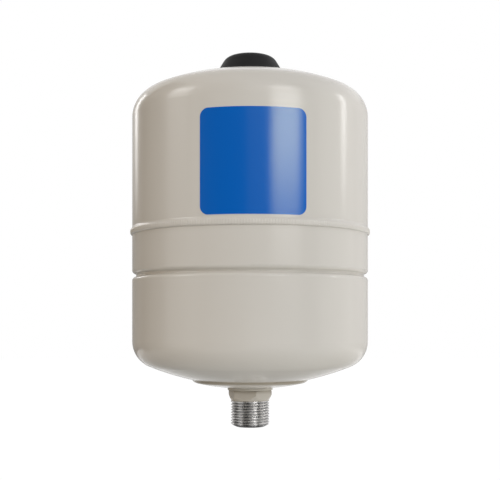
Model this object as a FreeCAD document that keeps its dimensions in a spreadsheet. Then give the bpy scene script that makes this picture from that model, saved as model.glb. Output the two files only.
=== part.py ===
"""Small in-line well pressure tank, as a parametric document.

A painted steel shell in two halves, welded round the middle, holds a polypropylene liner and a
rubber diaphragm. A steel band inside clamps their rims against the groove rolled into the shell.
Water comes and goes through the stainless connector below. Air is charged through the valve on
top, under its black cap.

Lengths are millimetres. The origin is the centre of the connector's lower end face, +Z is up
along the tank's axis, and the label faces -Y.
"""
import FreeCAD, Part
import math
import os

import Sketcher

Vector = FreeCAD.Vector
doc = FreeCAD.newDocument("well_pressure_tank")

# Driving sizes: alias, value, what it is
SIZES = [
    ("tank_radius", 101.0, "outside of the shells"),
    ("sheet_wall", 1.2, "steel of both shells"),
    ("lap_clearance", 0.2, "between the tucked rim and the upper shell"),
    ("top_tangent", 264.15, "level where the upper wall turns into the knuckle"),
    ("head_knuckle", 23.2, "corner radius of both heads, pressed on one tool"),
    ("head_dome", 229.0, "crown radius of both heads"),
    ("seam_level", 166.6, "lower end of the upper shell"),
    ("tuck_length", 10.0, "how far the lower shell reaches up inside the upper one"),
    ("joggle_drop", 2.6, "start of the joggle below the seam"),
    ("joggle_bend", 2.0, "bend radius of the joggle"),
    ("groove_level", 129.5, "middle of the rolled groove"),
    ("groove_depth", 3.4, "depth of the rolled groove"),
    ("groove_lip", 3.0, "outside radius of the groove's lips"),
    ("groove_root", 1.5, "outside radius of the groove's root"),
    ("land_radius", 20.5, "flat land round the connector"),
    ("land_drop", 1.3, "land below the crown of the lower head"),
    ("step_radius", 50.0, "pressed step of the lower head"),
    ("step_crown", 221.0, "crown radius of the pressed step"),
    ("step_round", 4.0, "convex edge of the pressed step"),
    ("step_fillet", 1.5, "concave edge of the pressed step"),
    ("weld_rise", 4.2, "weld bead above the seam"),
    ("weld_crest_low", 1.3, "how far the lower end of the bead's crest stands out"),
    ("weld_crest_high", 1.45, "how far its upper end stands out"),
    ("weld_crest_drop", 0.2, "middle of the bead's crest below the seam"),
    ("weld_crest_half", 1.7, "half height of the flat crest"),
    ("weld_crest_round", 6.0, "radius of the flat crest"),
    ("weld_flare", 5.0, "radius of the bead's hollow upper side"),
    ("weld_depth", 0.4, "how deep the bead fills the lap joint"),
    ("weld_clearance", 0.08, "between the bead's foot and the joggle"),
    ("thread_radius", 16.62, "major radius of the G1 pipe thread"),
    ("thread_length", 22.4, "threaded end of the connector"),
    ("thread_chamfer", 4.2, "how far the thread's end tapers in"),
    ("thread_chamfer_rise", 2.2, "height of that taper"),
    ("hex_across_flats", 33.3, "spanner size of the connector"),
    ("hex_height", 9.9, "height of the hexagon"),
    ("hex_turn", 15.6, "turn of a corner from the front, in degrees"),
    ("hex_core", 15.2, "inside of the hexagon, round the turned body"),
    ("hex_cone_foot", 15.9, "foot of the cone that takes the lower corners"),
    ("hex_cone_lean", 32.8, "lean of that cone from upright, in degrees"),
    ("hex_top_chamfer", 0.6, "chamfer of the upper corners"),
    ("collar_radius", 19.1, "collar under the shell"),
    ("collar_height", 1.5, "height of that collar"),
    ("neck_radius", 16.0, "neck through the shell"),
    ("neck_clearance", 0.1, "round the neck in the shell"),
    ("lip_radius", 18.6, "swaged lip inside the shell"),
    ("lip_height", 0.9, "thickness of the swaged lip"),
    ("lip_clearance", 0.05, "between that lip and the shell"),
    ("port_radius", 10.5, "water way"),
    ("socket_depth", 11.5, "socket for the liner's neck"),
    ("socket_clearance", 0.2, "round the liner's neck"),
    ("ring_section", 0.85, "section radius of the connector's sealing ring"),
    ("ring_drop", 5.5, "sealing ring below the connector's top"),
    ("ring_clearance", 0.05, "round the sealing ring"),
    ("liner_gap", 0.3, "between the shell and the liner"),
    ("liner_wall", 1.6, "polypropylene liner"),
    ("liner_bend", 3.0, "bend radius where the liner turns in to the groove"),
    ("clamp_gap", 0.2, "between the clamped rims"),
    ("clamp_rise", 8.0, "liner's end above the groove"),
    ("clamp_drop", 1.0, "liner's turned-in part below the groove"),
    ("rubber_gap", 0.3, "between the liner and the diaphragm"),
    ("rubber_wall", 2.0, "rubber diaphragm"),
    ("bead_height", 3.2, "diaphragm's rim bead over the liner's end"),
    ("pad_radius", 20.0, "thick middle of the diaphragm"),
    ("pad_height", 1.6, "what it adds"),
    ("band_wall", 1.5, "steel clamping band"),
    ("band_height", 13.0, "height of the band"),
    ("band_round", 0.5, "rounded edges of the band"),
    ("stem_plug_radius", 5.9, "valve stem inside the shell"),
    ("stem_plug_length", 12.5, "how far the stem reaches inside"),
    ("stem_clearance", 0.1, "round the stem in the shell"),
    ("stem_flange_radius", 8.5, "flange that sits on the shell"),
    ("stem_flange_height", 3.4, "height of the flange"),
    ("stem_neck_radius", 3.87, "threaded neck of the valve"),
    ("stem_neck_height", 7.0, "length of that neck"),
    ("stem_chamfer", 0.5, "edge of the neck's mouth"),
    ("stem_bore_radius", 2.65, "bore for the valve core"),
    ("stem_tail_radius", 2.45, "bore below the core's seal"),
    ("stem_weld_width", 1.9, "ring of weld round the flange"),
    ("stem_weld_height", 1.4, "its height"),
    ("stem_weld_hollow", 3.8, "radius of its hollow side"),
    ("core_mouth", 1.4, "core's plug below the mouth of the stem"),
    ("core_plug_length", 4.6, "threaded plug of the core"),
    ("core_clearance", 0.1, "round the core in its bore"),
    ("core_bridge", 2.4, "bridge that the core's key turns"),
    ("core_bridge_height", 1.6, "height of the bridge"),
    ("gasket_height", 1.8, "core's seal ring"),
    ("barrel_radius", 1.9, "barrel of the core"),
    ("barrel_wall", 0.4, "wall of the barrel"),
    ("barrel_length", 11.0, "length of the barrel"),
    ("barrel_floor", 1.0, "floor of the barrel"),
    ("pin_radius", 0.55, "valve pin"),
    ("pin_clearance", 0.2, "round the pin"),
    ("pin_mouth", 0.7, "pin's tip below the mouth of the stem"),
    ("pin_collar_radius", 1.25, "collar that the spring pushes"),
    ("pin_collar_height", 0.8, "height of that collar"),
    ("pin_collar_drop", 2.4, "collar's underside below the barrel's top"),
    ("cup_radius", 2.0, "cup at the pin's lower end"),
    ("cup_height", 0.9, "height of the cup's floor"),
    ("seal_height", 1.05, "rubber washer in the cup"),
    ("seal_gap", 0.05, "between the washer and the barrel"),
    ("seal_inset", 0.1, "washer's edge inside the cup's edge"),
    ("spring_wire", 0.15, "wire radius of the spring"),
    ("spring_radius", 1.12, "middle radius of its coils"),
    ("spring_pitch", 1.15, "pitch of its coils"),
    ("spring_gap", 0.03, "between the spring and its seats"),
    ("valve_cap_radius", 5.1, "brass screw cap"),
    ("valve_cap_clearance", 0.1, "round the stem's neck"),
    ("valve_cap_foot", 0.2, "cap above the flange"),
    ("valve_cap_roof", 0.9, "roof of the brass cap"),
    ("valve_cap_edge", 0.6, "its upper edge"),
    ("flute_radius", 0.55, "grip flutes of the brass cap"),
    ("flute_count", 14, "how many flutes"),
    ("valve_ring_section", 0.55, "section radius of the cap's sealing ring"),
    ("valve_ring_clearance", 0.05, "over and under that ring"),
    ("cover_radius", 30.95, "foot of the black cap"),
    ("cover_rise", 16.43, "top of the black cap above the shell"),
    ("cover_crown", 130.0, "crown radius of its top"),
    ("cover_shoulder", 8.9, "radius of its shoulder"),
    ("cover_shoulder_reach", 15.4, "axis to the middle of that shoulder"),
    ("cover_wall", 1.5, "its wall"),
    ("cover_gap", 0.25, "between its foot and the shell"),
    ("sleeve_wall", 1.4, "sleeve that grips the valve stem"),
    ("sleeve_clearance", 0.1, "round the stem's flange"),
    ("sleeve_rise", 0.3, "sleeve's end above the ring of weld"),
    ("rib_wall", 1.2, "ribs between sleeve and cap"),
    ("rib_count", 6, "how many ribs"),
    ("rib_rise", 2.6, "ribs above the end of the sleeve"),
    ("label_rise", 5.1, "lower edge of the label above the seam"),
    ("label_height", 81.9, "height of the label"),
    ("label_width", 84.2, "width of the label, along the shell"),
    ("label_corner", 7.0, "rounded corners of the label"),
    ("label_wall", 0.15, "thickness of the label"),
    ("label_glue", 0.02, "glue under the label"),
    ("label_turn", 1.5, "how far the label is turned to the right, in degrees"),
]

sheet = doc.addObject("Spreadsheet::Sheet", "Sizes")
for row, (alias, value, note) in enumerate(SIZES, start=1):
    sheet.set(f"A{row}", note)
    sheet.set(f"B{row}", str(value))
    sheet.setAlias(f"B{row}", alias)
doc.recompute()


class Length:
    """A size that is known as a number and as an expression over the sheet."""

    def __init__(self, value, text):
        self.value = float(value)
        self.text = text

    @staticmethod
    def of(other):
        return other if isinstance(other, Length) else Length(other, repr(other))

    def __add__(self, other):
        other = Length.of(other)
        return Length(self.value + other.value, f"({self.text} + {other.text})")

    def __sub__(self, other):
        other = Length.of(other)
        return Length(self.value - other.value, f"({self.text} - {other.text})")

    def __mul__(self, other):
        other = Length.of(other)
        return Length(self.value * other.value, f"({self.text} * {other.text})")

    def __truediv__(self, other):
        other = Length.of(other)
        return Length(self.value / other.value, f"({self.text} / {other.text})")

    def root(self):
        return Length(math.sqrt(self.value), f"sqrt({self.text})")


ZERO = Length(0.0, "0")


class Sheet:
    """Reads the driving sizes as attributes, such as size.tank_radius."""

    def __getattr__(self, alias):
        return Length(sheet.get(alias), f"Sizes.{alias}")


size = Sheet()


def bind(thing, **sizes):
    """Tie properties of an object to sizes."""
    for name, length in sizes.items():
        thing.setExpression(name.replace("__", "."), Length.of(length).text)


def add(kind, name, **sizes):
    thing = doc.addObject(kind, name)
    bind(thing, **sizes)
    return thing


def dimension(sketch, kind, parts, length):
    """A dimension in a sketch, tied to a size."""
    length = Length.of(length)
    at = sketch.addConstraint(Sketcher.Constraint(kind, *parts, length.value))
    sketch.setExpression(f"Constraints[{at}]", length.text)


def plane_sketch(body, name, role):
    """A new sketch on one of a body's own planes."""
    sketch = body.newObject("Sketcher::SketchObject", name)
    plane = [part for part in body.Origin.OriginFeatures if part.Role == role][0]
    sketch.AttachmentSupport = [(plane, "")]
    sketch.MapMode = "FlatFace"
    return sketch


def level_sketch(body, name, level):
    """A new sketch across the axis, at a level."""
    sketch = plane_sketch(body, name, "XY_Plane")
    bind(sketch, AttachmentOffset__Base__z=level)
    return sketch


# Sketched outlines: x is the distance from the axis, y the level above the origin
class Outline:
    """A run of lines and arcs in one sketch, each starting where the one before ended."""

    def __init__(self, name, body=None):
        self.body = body or doc.addObject("PartDesign::Body", name + "_body")
        self.sketch = plane_sketch(self.body, name, "XZ_Plane")
        self.edges = 0
        self.turns = []
        self.drawn = []

    def join(self, edge, smooth, forward=True):
        """Tie the new edge's start to the end of the edge before."""
        start, end = (1, 2) if forward else (2, 1)
        self.turns.append((start, end))
        if self.edges:
            kind = "Tangent" if smooth else "Coincident"
            before = self.turns[edge - 1][1]
            self.sketch.addConstraint(Sketcher.Constraint(kind, edge - 1, before, edge, start))
        self.edges += 1
        return edge

    def line(self, start, end, smooth=False):
        edge = self.sketch.addGeometry(Part.LineSegment(Vector(*start, 0), Vector(*end, 0)), False)
        self.drawn.append((None, start, end, True, smooth))
        return self.join(edge, smooth)

    def arc(self, centre, start, end, left=True, smooth=False):
        """An arc about a centre, turning left (anticlockwise) or right from start to end."""
        angles = [math.atan2(p[1] - centre[1], p[0] - centre[0]) for p in (start, end)]
        first, last = angles if left else reversed(angles)
        if last < first:
            last += 2 * math.pi
        radius = math.dist(centre, start)
        circle = Part.Circle(Vector(*centre, 0), Vector(0, 0, 1), radius)
        edge = self.sketch.addGeometry(Part.ArcOfCircle(circle, first, last), False)
        self.drawn.append((centre, start, end, left, smooth))
        return self.join(edge, smooth, forward=left)

    def end_of(self, edge):
        return edge, self.turns[edge][1]

    def start_of(self, edge):
        return edge, self.turns[edge][0]

    def centre_of(self, edge):
        return edge, 3

    def close(self):
        last, point = self.end_of(self.edges - 1)
        self.sketch.addConstraint(Sketcher.Constraint("Coincident", last, point, 0, self.turns[0][0]))

    def rule(self, kind, *parts):
        self.sketch.addConstraint(Sketcher.Constraint(kind, *parts))

    def on_axis(self, point):
        self.rule("PointOnObject", point[0], point[1], -2)

    def set_length(self, kind, parts, length):
        dimension(self.sketch, kind, parts, length)

    def reach(self, point, length):
        """Distance of a point from the axis."""
        self.set_length("DistanceX", (-1, 1, *point), length)

    def level(self, point, length):
        """Level of a point above the origin."""
        self.set_length("DistanceY", (-1, 1, *point), length)

    def radius(self, edge, length):
        self.set_length("Radius", (edge,), length)

    def pin(self, point, place):
        """Fix a point at a reach and a level."""
        reach, level = (Length.of(part) for part in place)
        if reach.value == 0:
            self.on_axis(point)
        else:
            self.reach(point, reach)
        if level.value == 0:
            self.rule("PointOnObject", point[0], point[1], -1)
        else:
            self.level(point, level)

    def pin_corners(self, corners):
        """Fix the start of each edge in turn."""
        for edge, corner in enumerate(corners):
            self.pin(self.start_of(edge), corner)

    def thicken(self, wall, first_cap, last_cap):
        """Close the outline with a second run at one wall's distance, on its inner side."""
        outer = list(self.drawn)
        step = Length.of(wall).value
        inner = []
        for centre, start, end, left, smooth in outer:
            if centre:
                radius = math.dist(centre, start)
                moved = radius - step if left else radius + step
                ends = [towards(centre, point, moved) for point in (start, end)]
            else:
                run = math.dist(start, end)
                shift = (step * (start[1] - end[1]) / run, step * (end[0] - start[0]) / run)
                ends = [(point[0] + shift[0], point[1] + shift[1]) for point in (start, end)]
            inner.append(ends)
        for at in range(1, len(outer)):
            if not outer[at][4]:
                before, after = inner[at - 1][1], inner[at][0]
                corner = ((before[0] + after[0]) / 2, (before[1] + after[1]) / 2)
                inner[at - 1][1] = inner[at][0] = corner
        cap = self.line(outer[-1][2], inner[-1][1])
        self.rule(last_cap, cap)
        smooth_joint = False
        for at in reversed(range(len(outer))):
            centre, _, _, left, smooth = outer[at]
            start, end = inner[at][1], inner[at][0]
            if centre:
                edge = self.arc(centre, start, end, left=not left, smooth=smooth_joint)
                self.rule("Coincident", edge, 3, at, 3)
            else:
                edge = self.line(start, end, smooth=smooth_joint)
                self.rule("Parallel", edge, at)
            if not smooth_joint:
                self.set_length("Distance", (*self.start_of(edge), at), wall)
            smooth_joint = smooth
        if isinstance(first_cap, Length):
            middle = (0.0, first_cap.value)
            start = towards(middle, inner[0][0], math.dist(middle, outer[0][1]))
            cap = self.arc(middle, start, outer[0][1], left=False)
            self.pin(self.centre_of(cap), (ZERO, first_cap))
        else:
            cap = self.line(inner[0][0], outer[0][1])
            self.rule(first_cap, cap)
        self.close()


def place(*lengths):
    return tuple(Length.of(length).value for length in lengths)


def circles_meet(one, radius_one, two, radius_two):
    """Where two circles cross, on the side away from the axis."""
    gap = math.dist(one, two)
    along = (radius_one ** 2 - radius_two ** 2 + gap ** 2) / (2 * gap)
    aside = math.sqrt(radius_one ** 2 - along ** 2)
    ux, uy = (two[0] - one[0]) / gap, (two[1] - one[1]) / gap
    foot = (one[0] + along * ux, one[1] + along * uy)
    pair = [(foot[0] + side * aside * uy, foot[1] - side * aside * ux) for side in (1, -1)]
    return max(pair)


def towards(start, end, distance):
    """The point at a distance from start, on the line to end."""
    share = distance / math.dist(start, end)
    return (start[0] + share * (end[0] - start[0]), start[1] + share * (end[1] - start[1]))


def arc_through(outline, start, end, radius, left):
    """An arc of a given radius between two corners."""
    radius = Length.of(radius).value
    middle = ((start[0] + end[0]) / 2, (start[1] + end[1]) / 2)
    chord = math.dist(start, end)
    depth = math.sqrt(radius ** 2 - (chord / 2) ** 2)
    side = 1 if left else -1
    centre = (middle[0] - side * depth * (end[1] - start[1]) / chord,
              middle[1] + side * depth * (end[0] - start[0]) / chord)
    return outline.arc(centre, start, end, left=left)


# Ways of making a piece
def spin(body, sketch, name):
    turned = body.newObject("PartDesign::Revolution", name)
    turned.Profile = sketch
    turned.ReferenceAxis = (sketch, ["V_Axis"])
    turned.Angle = 360
    return turned


def straight_outline(name, body, corners):
    """A closed outline with straight sides, given by its corners."""
    outline = Outline(name, body)
    places = [place(*corner) for corner in corners]
    for start, end in zip(places, places[1:] + places[:1]):
        outline.line(start, end)
    outline.close()
    outline.pin_corners(corners)
    return outline


def turned_piece(name, corners):
    """A body turned from an outline with straight sides."""
    body = doc.addObject("PartDesign::Body", name)
    outline = straight_outline(name + "_outline", body, corners)
    spin(body, outline.sketch, name + "_turned")
    return body


def sheet_piece(name, outline, wall, first_cap="Vertical", last_cap="Vertical"):
    """Sheet of one thickness, inwards from its outer outline, turned about the axis.

    A cap is a straight end. The first may be an arc instead, given by its middle's level."""
    outline.thicken(wall, first_cap, last_cap)
    spin(outline.body, outline.sketch, name + "_turned")
    return outline.body


def rod(name, radius, bottom, top):
    """A plain cylinder on the axis between two levels."""
    return add("Part::Cylinder", name, Radius=radius, Height=top - bottom, Placement__Base__z=bottom)


def tube(name, outer, inner, bottom, top):
    wall = doc.addObject("Part::Cut", name)
    wall.Base = rod(name + "_outside", outer, bottom, top)
    wall.Tool = rod(name + "_inside", inner, bottom, top)
    return wall


def cut(name, base, tool):
    result = doc.addObject("Part::Cut", name)
    result.Base = base
    result.Tool = tool
    return result


def fuse(name, *shapes):
    result = doc.addObject("Part::MultiFuse", name)
    result.Shapes = list(shapes)
    result.Refine = True
    return result


def rectangle(sketch, left, right, front, back):
    """Four bound lines in a sketch, between two reaches along x and two along y."""
    first = sketch.GeometryCount
    corners = [(left, front), (right, front), (right, back), (left, back)]
    points = [Vector(*place(*corner), 0) for corner in corners]
    for at in range(4):
        sketch.addGeometry(Part.LineSegment(points[at], points[(at + 1) % 4]), False)
    for at in range(4):
        sketch.addConstraint(Sketcher.Constraint("Coincident", first + at, 2,
                                                 first + (at + 1) % 4, 1))
        direction = "Vertical" if at % 2 else "Horizontal"
        sketch.addConstraint(Sketcher.Constraint(direction, first + at))
    for at, kind, length in ((0, "DistanceX", left), (0, "DistanceY", front),
                             (2, "DistanceX", right), (2, "DistanceY", back)):
        if Length.of(length).value:
            dimension(sketch, kind, (-1, 1, first + at, 1), length)
        else:
            axis = -2 if kind == "DistanceX" else -1
            sketch.addConstraint(Sketcher.Constraint("PointOnObject", first + at, 1, axis))


def repeat_round(body, name, feature, sketch, count):
    """Copies of one feature, evenly spaced about the axis."""
    doc.recompute()
    pattern = body.newObject("PartDesign::PolarPattern", name)
    pattern.Originals = [feature]
    pattern.Axis = (sketch, ["N_Axis"])
    pattern.Angle = 360
    bind(pattern, Occurrences=count)
    body.Tip = pattern


def sealing_ring(name, middle, section, level):
    return add("Part::Torus", name, Radius1=middle, Radius2=section, Placement__Base__z=level)


pieces = {}


def keep(name, thing):
    """Name a finished piece."""
    thing.Label = name
    pieces[name] = thing


# Levels and radii that several pieces share
shell_inside = size.tank_radius - size.sheet_wall
head_rise = ((size.head_dome - size.head_knuckle) * (size.head_dome - size.head_knuckle)
             - (size.tank_radius - size.head_knuckle)
             * (size.tank_radius - size.head_knuckle)).root()
dome_centre = size.top_tangent - head_rise
dome_top = dome_centre + size.head_dome
joggle_level = size.seam_level - size.joggle_drop
hex_top = size.thread_length + size.hex_height
land_level = hex_top + size.collar_height
bottom_apex = land_level + size.land_drop
bottom_tangent = bottom_apex + size.head_dome - head_rise


# Dished heads
def head_centre(radius, knuckle, dome, tangent, up):
    """Middle of the dome's crown, from the sizes of the head."""
    rise = math.sqrt((dome - knuckle) ** 2 - (radius - knuckle) ** 2)
    return (0.0, tangent - rise if up else tangent + rise)


# Upper shell
def upper_shell():
    radius, knuckle, dome, tangent = place(size.tank_radius, size.head_knuckle, size.head_dome,
                                           size.top_tangent)
    crown = head_centre(radius, knuckle, dome, tangent, up=True)
    corner = (radius - knuckle, tangent)
    blend = towards(crown, corner, dome)
    outline = Outline("upper_shell_outline")
    wall = outline.line((radius, size.seam_level.value), (radius, tangent))
    bend = outline.arc(corner, (radius, tangent), blend, smooth=True)
    top = outline.arc(crown, blend, (0.0, crown[1] + dome), smooth=True)
    outline.rule("Vertical", wall)
    outline.pin(outline.start_of(wall), (size.tank_radius, size.seam_level))
    outline.level(outline.end_of(wall), size.top_tangent)
    outline.radius(bend, size.head_knuckle)
    outline.radius(top, size.head_dome)
    outline.on_axis(outline.centre_of(top))
    outline.on_axis(outline.end_of(top))
    shell = sheet_piece("upper_shell_sheet", outline, size.sheet_wall, first_cap="Horizontal")
    hole = rod("valve_hole", size.stem_plug_radius + size.stem_clearance,
               dome_top - size.stem_plug_length, dome_top + size.sheet_wall)
    keep("upper_shell", cut("upper_shell_holed", shell, hole))


# Lower shell
def lower_shell():
    radius, knuckle, dome, tangent = place(size.tank_radius, size.head_knuckle, size.head_dome,
                                           bottom_tangent)
    hole_radius = size.neck_radius + size.neck_clearance
    land_radius, land = place(size.land_radius, land_level)
    crown, edge_round, fillet = place(size.step_crown, size.step_round, size.step_fillet)
    lip, root, depth, middle = place(size.groove_lip, size.groove_root, size.groove_depth,
                                     size.groove_level)
    bend, joggle, seam, tuck = place(size.joggle_bend, joggle_level, size.seam_level,
                                     size.tuck_length)
    inset = (size.sheet_wall + size.lap_clearance).value

    outline = Outline("lower_shell_outline")
    # flat land and pressed step
    crown_centre = (0.0, land + math.sqrt(crown ** 2 - land_radius ** 2))
    round_reach = size.step_radius.value - edge_round
    round_centre = (round_reach, crown_centre[1]
                    - math.sqrt((crown - edge_round) ** 2 - round_reach ** 2))
    head = head_centre(radius, knuckle, dome, tangent, up=False)
    fillet_centre = circles_meet(round_centre, edge_round + fillet, head, dome + fillet)
    flat = outline.line((hole_radius.value, land), (land_radius, land))
    step_top = towards(crown_centre, round_centre, crown)
    step_side = towards(round_centre, fillet_centre, edge_round)
    step_foot = towards(head, fillet_centre, dome)
    bowl = outline.arc(crown_centre, (land_radius, land), step_top)
    rim_round = outline.arc(round_centre, step_top, step_side, smooth=True)
    rim_fillet = outline.arc(fillet_centre, step_side, step_foot, left=False, smooth=True)
    # head and wall
    corner = (radius - knuckle, tangent)
    blend = towards(head, corner, dome)
    base = outline.arc(head, step_foot, blend, smooth=True)
    turn = outline.arc(corner, blend, (radius, tangent), smooth=True)
    # rolled groove
    half = math.sqrt((lip + root) ** 2 - (depth - lip - root) ** 2)
    low, deep, high = [(radius - lip, middle - half), (radius - depth + root, middle),
                       (radius - lip, middle + half)]
    wall = outline.line((radius, tangent), (radius, low[1]), smooth=True)
    lower_lip = outline.arc(low, (radius, low[1]), towards(low, deep, lip), smooth=True)
    groove = outline.arc(deep, towards(low, deep, lip), towards(high, deep, lip), left=False,
                         smooth=True)
    upper_lip = outline.arc(high, towards(high, deep, lip), (radius, high[1]), smooth=True)
    upper_wall = outline.line((radius, high[1]), (radius, joggle), smooth=True)
    # joggled rim that tucks into the upper shell
    rise = math.sqrt((2 * bend) ** 2 - (2 * bend - inset) ** 2)
    inner, outer = (radius - bend, joggle), (radius - inset + bend, joggle + rise)
    out_bend = outline.arc(inner, (radius, joggle), towards(inner, outer, bend), smooth=True)
    in_bend = outline.arc(outer, towards(inner, outer, bend), (radius - inset, outer[1]),
                          left=False, smooth=True)
    tucked = outline.line((radius - inset, outer[1]), (radius - inset, seam + tuck), smooth=True)

    outline.pin(outline.start_of(flat), (hole_radius, land_level))
    outline.reach(outline.end_of(flat), size.land_radius)
    outline.rule("Horizontal", flat)
    outline.on_axis(outline.centre_of(bowl))
    outline.radius(bowl, size.step_crown)
    outline.radius(rim_round, size.step_round)
    outline.reach(outline.centre_of(rim_round), size.step_radius - size.step_round)
    outline.radius(rim_fillet, size.step_fillet)
    outline.on_axis(outline.centre_of(base))
    outline.radius(base, size.head_dome)
    outline.radius(turn, size.head_knuckle)
    outline.rule("Vertical", wall)
    outline.pin(outline.start_of(wall), (size.tank_radius, bottom_tangent))
    outline.radius(lower_lip, size.groove_lip)
    outline.radius(groove, size.groove_root)
    outline.radius(upper_lip, size.groove_lip)
    outline.pin(outline.centre_of(groove), (size.tank_radius - size.groove_depth
                                            + size.groove_root, size.groove_level))
    outline.rule("Vertical", upper_wall)
    outline.pin(outline.end_of(upper_wall), (size.tank_radius, joggle_level))
    outline.radius(out_bend, size.joggle_bend)
    outline.radius(in_bend, size.joggle_bend)
    outline.rule("Vertical", tucked)
    outline.pin(outline.end_of(tucked), (shell_inside - size.lap_clearance,
                                         size.seam_level + size.tuck_length))
    keep("lower_shell", sheet_piece("lower_shell_sheet", outline, size.sheet_wall,
                                    last_cap="Horizontal"))


# Girth weld
def seam_weld():
    body = doc.addObject("PartDesign::Body", "seam_weld_body")
    crest_level = size.seam_level - size.weld_crest_drop
    out = size.tank_radius
    corners = [
        (out, size.seam_level + size.weld_rise),
        (out, size.seam_level),
        (out - size.weld_depth, size.seam_level),
        (out + size.weld_clearance, joggle_level),
        (out + size.weld_crest_low, crest_level - size.weld_crest_half),
        (out + size.weld_crest_high, crest_level + size.weld_crest_half),
    ]
    places = [place(*corner) for corner in corners]
    outline = Outline("seam_weld_outline", body)
    for start, end in zip(places[:4], places[1:5]):
        outline.line(start, end)
    crest = arc_through(outline, places[4], places[5], size.weld_crest_round, left=True)
    flare = arc_through(outline, places[5], places[0], size.weld_flare, left=False)
    outline.close()
    outline.pin_corners(corners)
    outline.radius(crest, size.weld_crest_round)
    outline.radius(flare, size.weld_flare)
    spin(body, outline.sketch, "seam_weld_turned")
    keep("seam_weld", body)


# Lined cups: liner and diaphragm lie in the lower shell, one inside the other
def cup_outline(name, rim_radius, rim_level, wall_radius, turn_level, inset):
    """Outline of a cup whose wall turns in to a narrower rim, its head set in from the shell's."""
    knuckle, dome = size.head_knuckle - inset, size.head_dome - inset
    tangent, bend = bottom_tangent, size.liner_bend
    radius, corner_radius, crown_radius, level, turn = place(wall_radius, knuckle, dome, tangent,
                                                             bend)
    head = head_centre(radius, corner_radius, crown_radius, level, up=False)
    corner = (radius - corner_radius, level)
    blend = towards(head, corner, crown_radius)
    narrow, start, top = place(rim_radius, turn_level, rim_level)
    rise = math.sqrt((2 * turn) ** 2 - (2 * turn - radius + narrow) ** 2)
    inner, outer = (radius - turn, start), (narrow + turn, start + rise)

    outline = Outline(name)
    base = outline.arc(head, (0.0, head[1] - crown_radius), blend)
    bend_low = outline.arc(corner, blend, (radius, level), smooth=True)
    wall = outline.line((radius, level), (radius, start), smooth=True)
    turn_in = outline.arc(inner, (radius, start), towards(inner, outer, turn), smooth=True)
    turn_up = outline.arc(outer, towards(inner, outer, turn), (narrow, outer[1]), left=False,
                          smooth=True)
    rim = outline.line((narrow, outer[1]), (narrow, top), smooth=True)
    outline.on_axis(outline.centre_of(base))
    outline.on_axis(outline.start_of(base))
    outline.radius(base, dome)
    outline.radius(bend_low, knuckle)
    outline.rule("Vertical", wall)
    outline.pin(outline.start_of(wall), (wall_radius, tangent))
    outline.level(outline.end_of(wall), turn_level)
    outline.radius(turn_in, bend)
    outline.radius(turn_up, bend)
    outline.rule("Vertical", rim)
    outline.pin(outline.end_of(rim), (rim_radius, rim_level))
    return outline


liner_inset = size.sheet_wall + size.liner_gap
liner_rim = size.tank_radius - size.groove_depth - size.sheet_wall - size.clamp_gap
liner_rim_level = size.groove_level + size.clamp_rise
groove_half = ((size.groove_lip + size.groove_root) * (size.groove_lip + size.groove_root)
               - (size.groove_depth - size.groove_lip - size.groove_root)
               * (size.groove_depth - size.groove_lip - size.groove_root)).root()
liner_turn = (size.liner_bend * 2 * size.liner_bend * 2
              - (size.liner_bend * 2 - (size.tank_radius - liner_inset) + liner_rim)
              * (size.liner_bend * 2 - (size.tank_radius - liner_inset) + liner_rim)).root()
liner_turn_level = size.groove_level - groove_half - size.clamp_drop - liner_turn
rubber_inset = liner_inset + size.liner_wall + size.rubber_gap
rubber_rim = liner_rim - size.liner_wall - size.clamp_gap
connector_top = land_level + size.sheet_wall + size.lip_clearance + size.lip_height
neck_outside = size.port_radius + size.liner_wall
socket_radius = neck_outside + size.socket_clearance


def liner():
    outline = cup_outline("liner_outline", liner_rim, liner_rim_level,
                          size.tank_radius - liner_inset, liner_turn_level, liner_inset)
    cup = sheet_piece("liner_sheet", outline, size.liner_wall, last_cap="Horizontal")
    neck_foot = connector_top - size.socket_depth + size.socket_clearance
    neck = rod("liner_neck", neck_outside, neck_foot, connector_top + size.liner_wall)
    port = rod("liner_port", size.port_radius, neck_foot - size.liner_wall,
               bottom_apex + rubber_inset + size.rubber_wall)
    keep("liner", cut("liner_holed", fuse("liner_necked", cup, neck), port))


def diaphragm():
    bead_top = liner_rim_level + size.clamp_gap + size.bead_height
    outline = cup_outline("diaphragm_outline", rubber_rim, bead_top,
                          size.tank_radius - rubber_inset, liner_turn_level - size.rubber_wall,
                          rubber_inset)
    cup = sheet_piece("diaphragm_sheet", outline, size.rubber_wall, last_cap="Horizontal")
    bead = tube("diaphragm_bead", liner_rim, rubber_rim - size.rubber_wall,
                liner_rim_level + size.clamp_gap, bead_top)
    crown_level = bottom_apex + rubber_inset
    pad = rod("diaphragm_pad", size.pad_radius, crown_level + size.rubber_wall / 2,
              crown_level + size.rubber_wall + size.pad_height)
    keep("diaphragm", fuse("diaphragm_moulded", cup, bead, pad))


def clench_ring():
    inner = rubber_rim - size.rubber_wall - size.clamp_gap / 2 - size.band_wall
    outer = inner + size.band_wall
    low = size.groove_level - size.band_height / 2
    high = size.groove_level + size.band_height / 2
    body = turned_piece("clench_ring_body", [(inner, low), (outer, low), (outer, high),
                                             (inner, high)])
    rounded = body.newObject("PartDesign::Fillet", "clench_ring_rounded")
    turned = body.Group[-2]
    doc.recompute()
    rounded.Base = (turned, [f"Edge{at}" for at, edge in enumerate(turned.Shape.Edges, start=1)
                             if edge.isClosed()])
    bind(rounded, Radius=size.band_round)
    keep("clench_ring", body)


# A hexagon's corner radius for each unit across its flats
corner_share = 1 / math.sqrt(3)


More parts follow.
